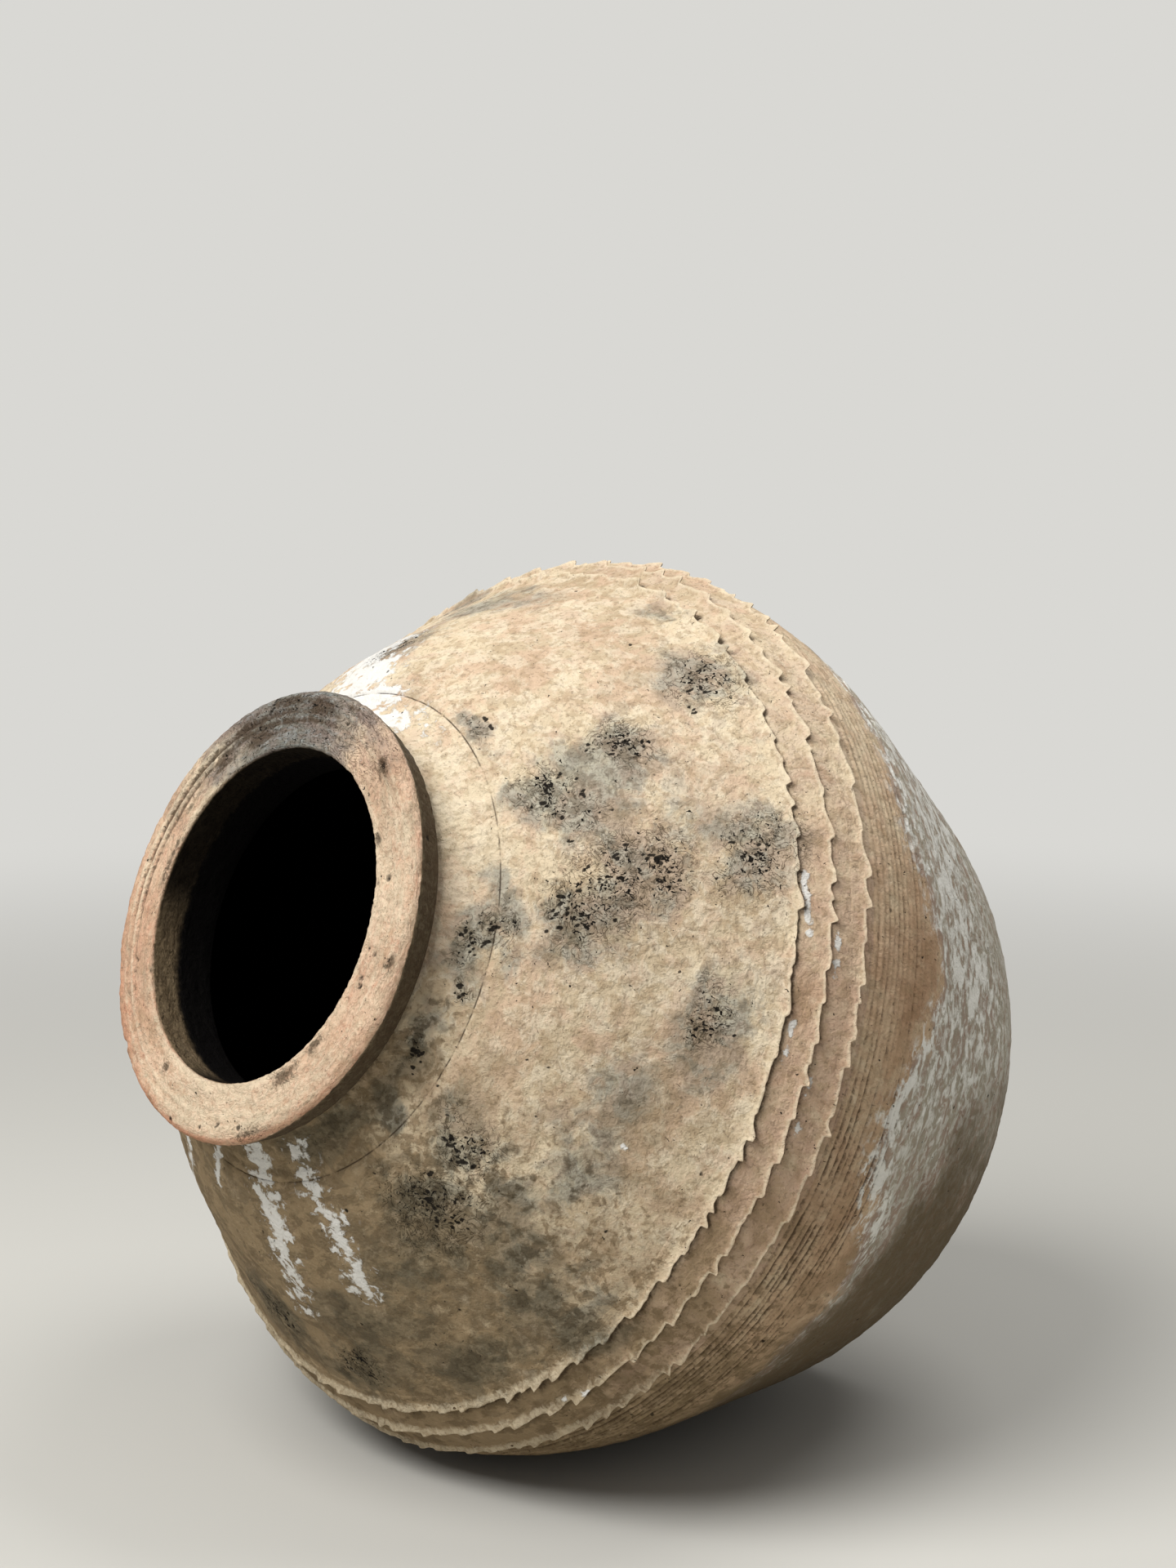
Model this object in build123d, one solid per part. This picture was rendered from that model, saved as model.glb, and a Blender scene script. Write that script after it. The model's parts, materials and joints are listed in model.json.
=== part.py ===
from build123d import *
import math
import os

os.makedirs("parts", exist_ok=True)

# A big olive jar of fired clay that lies on its belly on a level floor, mouth forward and raised.
# It is built in lifts, as a potter builds it: a slab, five lifts of wall, a neck and a turned
# collar, luted together on sloping seams, with three frilled lips laid round the belly.
# Lengths are in millimetres. Radii run from the jar's axis and heights from the foot's flat face.

# Driving dimensions
jar_height = 578
belly_radius = 314.5
belly_height = 328
base_radius = 150
mouth_radius = 110
wall = 15
slab_thickness = 20

# Neck and collar, out from the mouth and down from the top
neck_height = 55
neck_wall = 22
neck_flare = 33
throat_length = 50
collar_height = 29
collar_width = 40.5
collar_taper = 8
collar_round = 5
mouth_round = 5
collar_foot_round = 6
collar_groove_width = 5
collar_groove_depth = 1.6
collar_groove_shares = (0.45, 0.72)

# Ends of the two straight cones, as shares of the way out and of the way up: the lower cone
# from the base to the belly, the shoulder's from the neck's radius out and from the belly up
cone_foot_shares = (0.626, 0.387)
cone_top_shares = (0.894, 0.741)
shoulder_foot_shares = (0.849, 0.308)
shoulder_top_shares = (0.425, 0.718)

# Frilled lips: how far up from the belly to the neck's foot each free edge lies, as a share of
# the way, and how much of that way a lip takes up the wall, with its teeth as a share of its own
frill_height_shares = {"lower_frill": 0.097, "middle_frill": 0.215, "upper_frill": 0.308}
frill_reach_share = 0.067
frill_stand = 4
frill_undercut = 2.5
frill_root = 6
tooth_pitch = 36
tooth_depth_share = 0.346
tooth_slope_share = 0.85
tooth_unevenness_share = 0.3
tooth_rhythm = 2.4

# Seams between the lifts: each slopes down and out across the wall
seam_drop = 5
belt_seam_gap = 6
neck_seam_dip = 6

# Combed band below the lowest lip
comb_gap = 4
comb_pitch = 11
comb_depth = 1.6
comb_skim = 0.3
comb_count = 6

# Straight runs that each arc is turned in: the outer skin's, the hollow's and the small rounds'
skin_steps = 5
hollow_steps = 3
edge_steps = 3

overrun = 10


def place(radius, height):
    """A place on the jar's half section."""
    return Vector(radius, height)


def between(start, end, share):
    return start + (end - start) * share


def knot(start, end, shares):
    """The place at a share of the way out and a share of the way up from start to end."""
    return place(between(start.X, end.X, shares[0]), between(start.Y, end.Y, shares[1]))


def inward(at, way, depth):
    """The place that lies depth inside the skin, where the skin runs up along way."""
    way = way.normalized()
    return at - place(way.Y, -way.X) * depth


def arc_places(start, end, way, steps):
    """Evenly spaced places on the arc that leaves start along way and ends at end."""
    arc = TangentArc(start, end, tangent=way)
    return [arc @ (step / steps) for step in range(steps + 1)]


def turned(places):
    """The solid that a closed half section makes when it is turned about the jar's axis."""
    return revolve(Plane.XZ * make_face(Polyline(*places, close=True)), Axis.Z)


def wall_outline(base, cone_foot, cone_top, belly, shoulder_foot, shoulder_top, neck_foot, steps):
    """Half outline from the base up to the neck's foot: two straight cones joined by arcs."""
    cone_way = cone_top - cone_foot
    shoulder_way = shoulder_top - shoulder_foot
    return (
        arc_places(cone_foot, base, -cone_way, steps)[::-1]
        + arc_places(cone_top, belly, cone_way, steps)
        + arc_places(belly, shoulder_foot, place(0, 1), steps)[1:]
        + arc_places(shoulder_top, neck_foot, shoulder_way, steps)
    )


# The outer skin
base = place(base_radius, 0)
belly = place(belly_radius, belly_height)
neck_waist = place(mouth_radius + neck_wall, jar_height - collar_height)
neck_foot = place(neck_waist.X + neck_flare, jar_height - neck_height)
cone_foot = knot(base, belly, cone_foot_shares)
cone_top = knot(base, belly, cone_top_shares)
under_neck = place(neck_foot.X, belly_height)
over_belly = place(belly_radius, neck_foot.Y)
shoulder_foot = knot(under_neck, over_belly, shoulder_foot_shares)
shoulder_top = knot(under_neck, over_belly, shoulder_top_shares)
outside = wall_outline(
    base, cone_foot, cone_top, belly, shoulder_foot, shoulder_top, neck_foot, skin_steps
)
neck_way = outside[-1] - outside[-2]
neck_outline = arc_places(neck_foot, neck_waist, neck_way, skin_steps)
solid_jar = turned(outside + neck_outline[1:] + [place(0, neck_waist.Y), place(0, 0)])

# The hollow, one wall inside the skin, and the throat
cone_way = cone_top - cone_foot
shoulder_way = shoulder_top - shoulder_foot
inside = wall_outline(
    place(base_radius, slab_thickness),
    inward(cone_foot, cone_way, wall),
    inward(cone_top, cone_way, wall),
    place(belly_radius - wall, belly_height),
    inward(shoulder_foot, shoulder_way, wall),
    inward(shoulder_top, shoulder_way, wall),
    inward(neck_foot, neck_way, wall),
    hollow_steps,
)
throat = [place(mouth_radius, jar_height - throat_length), place(mouth_radius, jar_height + overrun)]
hollow = turned(inside + throat + [place(0, jar_height + overrun), place(0, slab_thickness)])
shell = solid_jar - hollow


def skin_radius(height):
    """Radius of the outer skin at a height."""
    for low, high in zip(outside, outside[1:]):
        if low.Y <= height <= high.Y:
            return between(low.X, high.X, (height - low.Y) / (high.Y - low.Y))


def above_seam(radius, height, drop=seam_drop):
    """All above a seam that slopes from drop above height, inside, to drop below it, outside."""
    reach = belly_radius + overrun
    top = jar_height + overrun
    return turned(
        [
            place(0, height + drop),
            place(radius - wall, height + drop),
            place(radius + wall, height - drop),
            place(reach, height - drop),
            place(reach, top),
            place(0, top),
        ]
    )


# The lifts, from the slab up to the neck, with the seams clear of the lips
frill_heights = {
    name: between(belly_height, neck_foot.Y, share) for name, share in frill_height_shares.items()
}
frill_reach = (neck_foot.Y - belly_height) * frill_reach_share
belt_foot_height = frill_heights["lower_frill"] - belt_seam_gap
belt_top_height = frill_heights["upper_frill"] + frill_reach / 2
wall_seam_heights = [cone_foot.Y, cone_top.Y, belt_foot_height, belt_top_height]
seams = [above_seam(base_radius + wall, slab_thickness - seam_drop)]
seams += [above_seam(skin_radius(height) - wall / 2, height) for height in wall_seam_heights]
seams += [above_seam(neck_foot.X - wall, neck_foot.Y - neck_seam_dip, drop=-neck_seam_dip)]
lift_names = ["foot_wall", "lower_wall", "combed_wall", "belt_wall", "shoulder", "neck"]

pieces = {"base_slab": shell - seams[0]}
for name, seam, next_seam in zip(lift_names, seams, seams[1:] + [None]):
    lift = shell & seam
    pieces[name] = lift if next_seam is None else lift - next_seam


def comb_band():
    """The clay that the comb takes off: a ring whose inner side runs in and out as the teeth do."""
    top = belt_foot_height - comb_gap
    half_turns = 2 * comb_count
    zigzag = []
    for half_turn in range(half_turns + 1):
        height = top - comb_pitch * half_turn / 2
        depth = comb_depth if half_turn % 2 else comb_skim
        if half_turn in (0, half_turns):
            depth = -comb_depth
        zigzag.append(place(skin_radius(height) - depth, height))
    reach = belly_radius + overrun
    return turned(zigzag + [place(reach, zigzag[-1].Y), place(reach, top)])


def collar():
    """The turned collar: a flat lip with shallow grooves, rounded outside, tapering to its foot."""
    foot = jar_height - collar_height
    outer = mouth_radius + collar_width
    side_top = place(outer, jar_height - collar_round)
    side_foot = place(outer - collar_taper, foot)
    side_way = (side_foot - side_top).normalized()
    mouth_edge = place(mouth_radius, jar_height - mouth_round)
    lip_start = place(mouth_radius + mouth_round, jar_height)
    lip_end = place(outer - collar_round, jar_height)
    foot_start = side_foot - side_way * collar_foot_round
    foot_end = side_foot - place(collar_foot_round, 0)
    lip = [lip_start, lip_end]
    for share in reversed(collar_groove_shares):
        groove = mouth_radius + collar_width * share
        lip[1:1] = [
            place(groove - collar_groove_width / 2, jar_height),
            place(groove, jar_height - collar_groove_depth),
            place(groove + collar_groove_width / 2, jar_height),
        ]
    return turned(
        [place(mouth_radius, foot)]
        + arc_places(mouth_edge, lip_start, place(0, 1), edge_steps)[:-1]
        + lip
        + arc_places(lip_end, side_top, place(1, 0), edge_steps)[1:]
        + arc_places(foot_start, foot_end, side_way, edge_steps)
    )


def bite(crest, turn, depth, slope):
    """A cutter that takes one slanting tooth's worth out of a lip's free edge."""
    out = Vector(math.cos(turn), math.sin(turn), 0)
    along = Vector(math.sin(turn), -math.cos(turn), 0)
    start = Plane(origin=out * (crest.X + overrun) + Vector(0, 0, crest.Y), x_dir=along, z_dir=-out)
    outline = Polyline((0, -overrun), (slope, -overrun), (slope, 0), (0, depth), close=True)
    return extrude(start * make_face(outline), overrun + frill_stand + frill_root).solid()


def frill(height, phase):
    """A lip seated on the skin, its free edge towards the base and bitten into slanting teeth."""
    crest = place(skin_radius(height) + frill_stand, height)
    seat_top = place(skin_radius(height + frill_reach), height + frill_reach)
    seat_foot = place(skin_radius(height + frill_undercut), height + frill_undercut)
    blank = turned(
        [
            crest,
            seat_top + (seat_top - crest).normalized() * frill_root,
            seat_foot + (seat_foot - crest).normalized() * frill_root,
        ]
    )
    count = round(2 * math.pi * crest.X / tooth_pitch)
    slope = 2 * math.pi * crest.X / count * tooth_slope_share
    bites = []
    for tooth in range(count):
        wave = math.sin(tooth_rhythm * tooth + phase)
        turn = 2 * math.pi * (tooth + tooth_unevenness_share * wave) / count
        depth = frill_reach * tooth_depth_share * (1 - tooth_unevenness_share * wave * wave)
        bites.append(bite(crest, turn, depth, slope))
    return blank - solid_jar - bites


pieces["combed_wall"] -= comb_band()
pieces["rim_collar"] = collar()
for phase, (name, height) in enumerate(frill_heights.items()):
    pieces[name] = frill(height, phase)

# The jar is laid down on the cone of its lower wall, over the middle of its own footprint
lean = math.atan2(cone_way.X, cone_way.Y)
lift_up = cone_foot.X * math.cos(lean) - cone_foot.Y * math.sin(lean)
tipped = Location((0, 0, lift_up), (90 - math.degrees(lean), 0, 0))
footprint = (tipped * Compound(list(pieces.values()))).bounding_box()
lying = Location((0, -footprint.center().Y, 0)) * tipped

for name, piece in pieces.items():
    solids = piece.solids()
    laid = lying * (solids[0] if len(solids) == 1 else Compound(solids))
    export_step(laid, f"parts/{name}.step")

for name, height in (("base", 0), ("throat", jar_height - (mouth_round + throat_length) / 2)):
    centre = (lying * Location((0, 0, height))).position
    print(name, "centre", [round(length, 2) for length in centre])
print("axis out of the mouth", [0, round(-math.cos(lean), 6), round(math.sin(lean), 6)])
print("footprint", [round(length, 1) for length in (*footprint.min, *footprint.max)])
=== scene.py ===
import itertools
import json
import math

import bpy
import numpy as np
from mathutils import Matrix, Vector


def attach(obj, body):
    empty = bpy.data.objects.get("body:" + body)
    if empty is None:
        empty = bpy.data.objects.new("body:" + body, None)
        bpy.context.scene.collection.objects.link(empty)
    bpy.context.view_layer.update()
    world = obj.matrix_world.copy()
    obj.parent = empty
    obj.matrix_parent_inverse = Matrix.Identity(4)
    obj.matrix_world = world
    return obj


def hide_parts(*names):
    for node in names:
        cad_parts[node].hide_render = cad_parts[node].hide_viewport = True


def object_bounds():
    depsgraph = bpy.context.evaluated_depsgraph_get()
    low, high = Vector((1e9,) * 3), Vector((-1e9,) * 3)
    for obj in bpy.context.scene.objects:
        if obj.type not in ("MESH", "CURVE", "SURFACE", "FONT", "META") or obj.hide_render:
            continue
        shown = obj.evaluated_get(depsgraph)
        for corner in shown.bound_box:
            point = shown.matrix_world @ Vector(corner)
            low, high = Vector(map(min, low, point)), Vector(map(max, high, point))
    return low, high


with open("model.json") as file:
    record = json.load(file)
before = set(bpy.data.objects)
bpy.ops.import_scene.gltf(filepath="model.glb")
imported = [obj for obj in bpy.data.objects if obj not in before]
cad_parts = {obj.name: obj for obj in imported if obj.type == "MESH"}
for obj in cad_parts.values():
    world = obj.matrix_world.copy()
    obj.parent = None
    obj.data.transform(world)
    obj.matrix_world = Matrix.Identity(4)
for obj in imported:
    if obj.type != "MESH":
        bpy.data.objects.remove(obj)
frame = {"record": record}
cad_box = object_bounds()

# An old olive jar of fired clay, lying on its belly with the mouth forward and raised.
# Lengths are in millimetres until a mesh is made. Radii run from the jar's axis, heights from
# the foot's flat face, and turns are in degrees round the axis: 0 is the jar's upper side as it
# lies, 90 the side that faces the camera and 180 the underside.
MM = 0.001
underside = 180

# Sizes of the part
jar_height = 578
belly_radius = 314.5
belly_height = 328
base_radius = 150
mouth_radius = 110
wall = 15
slab_thickness = 20
neck_height = 55
neck_wall = 22
neck_flare = 33
throat_length = 50
collar_height = 29
collar_width = 40.5
collar_taper = 8
collar_foot_round = 6

# Rounds on the collar's two edges, as wear has left them
collar_round = 8.5
mouth_round = 2.5

# Ends of the two straight cones, and of the neck: radius and height
cone_foot = (253, 127)
cone_top = (297, 243)
shoulder_foot = (292, 388)
shoulder_top = (228.5, 468)
neck_waist = (mouth_radius + neck_wall, jar_height - collar_height)
neck_foot = (neck_waist[0] + neck_flare, jar_height - neck_height)

# Heights of the lips' edges, and of the sloping seams between the lifts
frill_heights = {"lower_frill": 347, "middle_frill": 370, "upper_frill": 388}
belt_foot_height = 341
belt_top_height = 394.5
slab_edge_height = 13.8
neck_seam_inner = 514.9
half_seam_rise = 2.5

# Fineness of the meshes: places round the jar, steps up it and rows on the inside
turns = 1080
skin_step = 2.3
comb_step = 1.4
neck_step = 1.6
inner_rows = 9
arc_steps = 48
around = np.radians(np.arange(turns) * 360 / turns)


# Where the jar lies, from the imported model's own rest face
rest = next(mount for mount in frame["record"]["mounts"] if mount["name"] == "base_rest")
foot_centre = np.array(rest["pos_m"])
out_of_mouth = -np.array(rest["axis"])
sideways = np.array((1.0, 0.0, 0.0))
upward = np.cross(out_of_mouth, sideways)


def laid_down(places):
    """Places on the upright jar, in millimetres, as places on the lying jar, in metres."""
    return foot_centre + places @ np.array((sideways, upward, out_of_mouth)) * MM


def spun(radius, height, turn):
    """Places on the upright jar at radii, heights and turns."""
    return np.stack([radius * np.sin(turn), radius * np.cos(turn), height + 0 * turn], axis=-1)


# Outlines of the wall
def arc(start, end, way):
    """Places on the round stretch that leaves start along way and ends at end."""
    start, end, way = (np.array(value, float) for value in (start, end, way))
    way /= np.linalg.norm(way)
    across = np.array((-way[1], way[0]))
    chord = end - start
    radius = chord @ chord / (2 * (chord @ across))
    turn = np.linspace(0, 2 * math.atan2(chord @ across, chord @ way), arc_steps)[:, None]
    return start + across * radius * (1 - np.cos(turn)) + way * radius * np.sin(turn)


def outline(base, cone_foot, cone_top, belly, shoulder_foot, shoulder_top, neck_foot):
    """Half outline from the base up to the neck's foot: two straight cones joined by arcs."""
    cone_way = np.subtract(cone_top, cone_foot)
    shoulder_way = np.subtract(shoulder_top, shoulder_foot)
    return np.concatenate(
        [
            arc(cone_foot, base, -cone_way)[::-1],
            arc(cone_top, belly, cone_way),
            arc(belly, shoulder_foot, (0, 1)),
            arc(shoulder_top, neck_foot, shoulder_way),
        ]
    )


def inward(at, way, depth):
    """The place that lies depth inside the skin, where the skin runs up along way."""
    way = np.array(way, float) / np.hypot(*way)
    return np.array(at) - np.array((way[1], -way[0])) * depth


def lengths_along(places):
    return np.concatenate([[0], np.cumsum(np.hypot(*np.diff(places, axis=0).T))])


def square_to(ways):
    """Unit ways that stand square on the given ones, to their right."""
    length = np.maximum(np.hypot(*ways.T), 1e-9)[:, None]
    return np.stack([ways[:, 1], -ways[:, 0]], axis=1) / length


cone_way = np.subtract(cone_top, cone_foot)
shoulder_way = np.subtract(shoulder_top, shoulder_foot)
body = outline(
    (base_radius, 0), cone_foot, cone_top, (belly_radius, belly_height),
    shoulder_foot, shoulder_top, neck_foot,
)
neck_way = body[-1] - body[-2]
skin = np.concatenate([body, arc(neck_foot, neck_waist, neck_way)[1:]])
hollow = np.concatenate(
    [
        outline(
            (base_radius, slab_thickness), inward(cone_foot, cone_way, wall),
            inward(cone_top, cone_way, wall), (belly_radius - wall, belly_height),
            inward(shoulder_foot, shoulder_way, wall), inward(shoulder_top, shoulder_way, wall),
            inward(neck_foot, neck_way, wall),
        ),
        [(mouth_radius, jar_height - throat_length), (mouth_radius, jar_height)],
    ]
)
skin_along = lengths_along(skin)
skin_out = square_to(np.gradient(skin, axis=0))


def along_at(height):
    return np.interp(height, skin[:, 1], skin_along)


def skin_radius(height):
    return np.interp(height, skin[:, 1], skin[:, 0])


def skin_at(along):
    """Radius and height of the true skin at a place along it, and the way that it faces."""
    radius, height = (np.interp(along, skin_along, skin[:, side]) for side in (0, 1))
    return radius, height, [np.interp(along, skin_along, skin_out[:, side]) for side in (0, 1)]


# Unevenness of hand-made clay. Each kind is named by its bumps: their size and their seed.
cell_keys = np.array((73856093, 19349663, 83492791))
seed_key = 2654435761
stir_key = 1274126177
last_key = 0xFFFF
wrap_radius = 250


def grain(at, size, seed):
    """Smooth seeded unevenness from -1 to 1 over places, with bumps of about size."""
    cell = np.floor(at / size).astype(np.int64)
    part = at / size - cell
    part = part * part * (3 - 2 * part)
    total = np.zeros(at.shape[:-1])
    for corner in itertools.product((0, 1), repeat=3):
        key = (cell + corner) @ cell_keys + seed * seed_key
        key = (key ^ (key >> 13)) * stir_key
        key = (key ^ (key >> 16)) & last_key
        weight = np.prod(np.where(corner, part, 1 - part), axis=-1)
        total += (key / last_key * 2 - 1) * weight
    return total


def layered(at, size, seed, layers=3):
    return sum(grain(at, size / 2**layer, seed + layer) / 2**layer for layer in range(layers)) / 2


def ramp(value, low, high):
    """0 below low, 1 above high, and smooth between them."""
    share = np.clip((value - low) / (high - low), 0, 1)
    return share * share * (3 - 2 * share)


def bell(off, reach):
    """1 where off is nothing, fading out past its reach."""
    return np.exp(-((off / reach) ** 2))


def past(degrees, start, end, back=70):
    """Rises from 0 to 1 between two turns and comes back to 0 before the full turn."""
    return ramp(degrees, start, end) * ramp(355 - degrees, 0, back)


def gap_from(turn, middle):
    """Degrees from a middle turn, from -180 to 180, for a turn in radians."""
    return (np.degrees(turn) - middle + 180) % 360 - 180


def wrapped(turn, along, wrap=wrap_radius):
    """Places on an even sleeve round the jar: equal patterns all the way round and up it."""
    turn, along = np.broadcast_arrays(turn, along)
    return np.stack([wrap * np.sin(turn), wrap * np.cos(turn), along], axis=-1)


wobble_depth, wobble_bumps = 1.3, (230, 11)
resting_share, resting_reach = 0.85, 40


def wobble(turn, along):
    """How far the hand-built wall falls inside the true round: least where it lies on the floor."""
    depth = wobble_depth * (1 + layered(wrapped(turn, along), *wobble_bumps))
    return -depth * (1 - resting_share * bell(gap_from(turn, underside), resting_reach))


# Marks of age: each lies at a turn and a height, and reaches so far round and up the jar
sooty_places = [
    (30, 514, 24, 12), (53, 500, 34, 26), (53, 510, 24, 14), (47, 465, 26, 24), (50, 480, 26, 26),
    (37, 413, 30, 26), (71, 482, 42, 30), (78, 500, 28, 18), (88, 419, 34, 24), (65, 411, 28, 26),
    # The patches near a height of 530, just under the collar, are soot and also the collar's
    # painted shadow on the neck
    (84, 528, 38, 15), (115, 457, 34, 24), (97, 531, 20, 10), (113, 533, 22, 11),
    (130, 533, 30, 12), (150, 535, 40, 14), (137, 492, 36, 26), (124, 502, 24, 18),
    (134, 428, 32, 34), (133, 399, 28, 18), (174, 417, 50, 26),
]
hazy_places = [
    (69, 456, 32, 22), (100, 453, 24, 18), (70, 529, 22, 12), (150, 478, 60, 30),
    (128, 472, 34, 30), (152, 410, 60, 26), (20, 402, 22, 16), (60, 440, 26, 20),
    # The last two patches, under the collar, are haze and also the collar's painted shadow
    (165, 450, 50, 30), (104, 533, 60, 14), (136, 533, 50, 14),
]
pitted_places = [
    (71, 484, 30, 24), (76, 498, 22, 14), (68, 458, 20, 16), (53, 500, 18, 18), (46, 462, 18, 18),
    (65, 411, 20, 22), (37, 413, 20, 18), (88, 420, 14, 10), (83, 528, 16, 8), (97, 531, 9, 5),
    (113, 534, 11, 6), (136, 490, 28, 24), (30, 514, 12, 7), (174, 417, 16, 12), (124, 500, 14, 12),
]
lime_places = [
    (-12, 530, 40, 20), (-17, 510, 30, 30), (-22, 486, 22, 32), (4, 536, 40, 12), (-4, 520, 22, 16),
    (-32, 462, 20, 34), (-40, 430, 16, 24),
]
lime_crumbs = [
    (69, 384.6, 9, 2.6), (72, 383.4, 11, 3.0), (75, 382.5, 8, 2.6), (76, 365.8, 9, 2.6),
    (79, 365.2, 8, 2.4), (87, 384, 7, 2.6), (90, 383.5, 7, 2.4), (93, 366.5, 9, 2.4),
    (98, 365, 7, 2.2), (141, 371, 4, 1.1), (144, 373, 3, 1.1), (109, 440, 2.4, 2.4),
]
# Runs of lime: three places that each trails along, as turn and height, and its width
lime_runs = [
    ((178, 538), (176, 503), (181, 446), 15.0),
    ((161, 538), (159, 502), (161, 460), 14.0),
    ((194, 538), (196, 522), (197, 508), 6.0),
    ((216, 538), (212, 500), (216, 466), 8.0),
]
# The upper edge of the wash: turn and height
wash_bounds = [
    (0, 290), (45, 290), (60, 288), (67, 268), (72, 246), (77, 256), (84, 275), (93, 299),
    (101, 288), (105, 266), (114, 250), (134, 246), (180, 236), (235, 262), (300, 284), (360, 290),
]
# Soot on the side that the photo doesn't show, every other patch of it pitted
unseen_seed, unseen_count = 21, 15
unseen_bounds = ((190, 350), (405, 520), (22, 44), (18, 36))
unseen_pitting = 0.6
guess = np.random.default_rng(unseen_seed)
unseen = [tuple(guess.uniform(*bounds) for bounds in unseen_bounds) for _ in range(unseen_count)]
sooty_places += unseen
pitted_places += [
    (turn, height, wide * unseen_pitting, tall * unseen_pitting)
    for turn, height, wide, tall in unseen[::2]
]

stray_wide, stray_fine = 11, 6
stray_aside = ((38, 15), (15, 16))
stray_up = ((38, 17), (15, 18))


def strayed(turn, height):
    """The same places led a little astray, so that whatever is laid by them has ragged bounds."""
    at = wrapped(turn, along_at(height))
    aside, up = (
        stray_wide * grain(at, *wide) + stray_fine * grain(at, *fine)
        for wide, fine in (stray_aside, stray_up)
    )
    return turn + aside / wrap_radius, height + up


def patch(turn, height, where):
    """1 in the middle of a patch, fading out past its reach round and up the jar."""
    middle, level, wide, tall = where
    round_gap = np.radians(gap_from(turn, middle)) * skin_radius(level)
    return bell(round_gap, wide) * bell(along_at(height) - along_at(level), tall)


def patches(turn, height, places):
    return np.max([patch(turn, height, where) for where in places], axis=0)


run_tail, run_head = 6, 4
run_cover, run_breaks, run_bumps = 0.66, 0.75, (22, 19)


def run_down(turn, height, run):
    """1 on a run of lime that trails along its three places, fading within its width."""
    *places, width = run
    turns_at, heights_at = np.array(places, float)[::-1].T
    low, high = heights_at[[0, -1]]
    side = np.radians(gap_from(turn, np.interp(height, heights_at, turns_at))) * skin_radius(height)
    ends = ramp(height, low - run_tail, low + run_head)
    ends = ends * ramp(high + run_head - height, 0, run_head)
    broken = run_cover + run_breaks * layered(wrapped(turn, along_at(height)), *run_bumps)
    return bell(side, width) * ends * broken


# Teeth of the frilled lips, pinched by hand one after another round the belly
tooth_pitch = 23
tooth_depth = 3.6
width_spread = 0.6
weakest_pinch = 0.25
teeth_seed = 5
notch_swell = 0.1
swell_power = 1.8
tooth_crest, tooth_drop, tooth_end = 0.88, 0.9, 0.98
tip_stand = 5.2
low_stand = 1.5
lip_reach = 10
lip_root = 1.3
top_stand = 3.9
side_stand = 6.0
edge_lift = 1.2
torn_share = 0.7
torn_bumps = ((0.7, (3.2, 31)), (1.1, (9, 32)), (1.5, (70, 33)))
hand_spread, hand_bumps = 0.4, (75, 35)
stand_spread, stand_bumps = 0.5, (4, 34)
lip_loss, lip_worn_turns, lip_worn_back = 0.34, (125, 170), 25
edge_wear_power, stand_wear_power = 1.2, 0.5


def pinches(height, seed):
    """Turns at which each tooth begins, and how strongly each is pinched."""
    pick = np.random.default_rng(seed)
    count = round(2 * math.pi * skin_radius(height) / tooth_pitch)
    widths = 1 + width_spread * pick.uniform(-1, 1, count)
    starts = np.concatenate([[0], np.cumsum(widths)]) / widths.sum() * 2 * math.pi
    return starts, pick.uniform(weakest_pinch, 1.0, count)


teeth = {
    name: pinches(height, teeth_seed + order)
    for order, (name, height) in enumerate(frill_heights.items())
}


def tooth_shape(name, turn):
    """How far a lip's edge has swelled at a turn, from 0 in a notch to 1 at a strong tip."""
    starts, strengths = teeth[name]
    turn = turn % (2 * math.pi)
    tooth = np.clip(np.searchsorted(starts, turn, side="right") - 1, 0, len(strengths) - 1)
    share = (turn - starts[tooth]) / (starts[tooth + 1] - starts[tooth])
    after = strengths[(tooth + 1) % len(strengths)]
    rise = notch_swell + (1 - notch_swell) * ramp(share, 0.0, tooth_crest) ** swell_power
    fallen = notch_swell * after * ramp(share, tooth_drop, 1.0)
    return strengths[tooth] * rise * (1 - ramp(share, tooth_drop, tooth_end)) + fallen


def lip_wear(turn):
    """The lips are worn lower underneath and on the side that is turned away."""
    return 1 - lip_loss * past(np.degrees(turn) % 360, *lip_worn_turns, lip_worn_back)


def lip_edge(name, turn):
    """Height of a lip's torn free edge, and how far it stands off the skin."""
    swell = tooth_shape(name, turn) * lip_wear(turn) ** edge_wear_power
    at = wrapped(turn, frill_heights[name])
    torn = sum(depth * grain(at, *bumps) for depth, bumps in torn_bumps)
    edge = frill_heights[name] + edge_lift - tooth_depth * swell + torn * torn_share
    hand = 1 + hand_spread * grain(at, *hand_bumps)
    stand = (low_stand + (tip_stand - low_stand) * swell) * hand
    stand += stand_spread * grain(at, *stand_bumps)
    return edge, stand * lip_wear(turn) ** stand_wear_power


# The comb's grooves, drawn by hand round the turning jar
comb_top = 338
comb_count = 12
comb_pitch = 5.7
comb_spread = 0.13
comb_presses = (1.0, 1.8)
groove_reach = 1.5
sway_bumps = ((1.6, (190, 41)), (0.5, (30, 42)))
drift_depth, drift_size, drift_seed = 0.45, 60, 50
press_base, press_depth, press_size, press_seed = 0.8, 0.4, 110, 70
comb_pick = np.random.default_rng(3)
comb_steps = np.arange(comb_count) + comb_spread * comb_pick.uniform(-1, 1, comb_count)
comb_levels = comb_top - comb_pitch * comb_steps
comb_depths = comb_pick.uniform(*comb_presses, comb_count)


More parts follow.
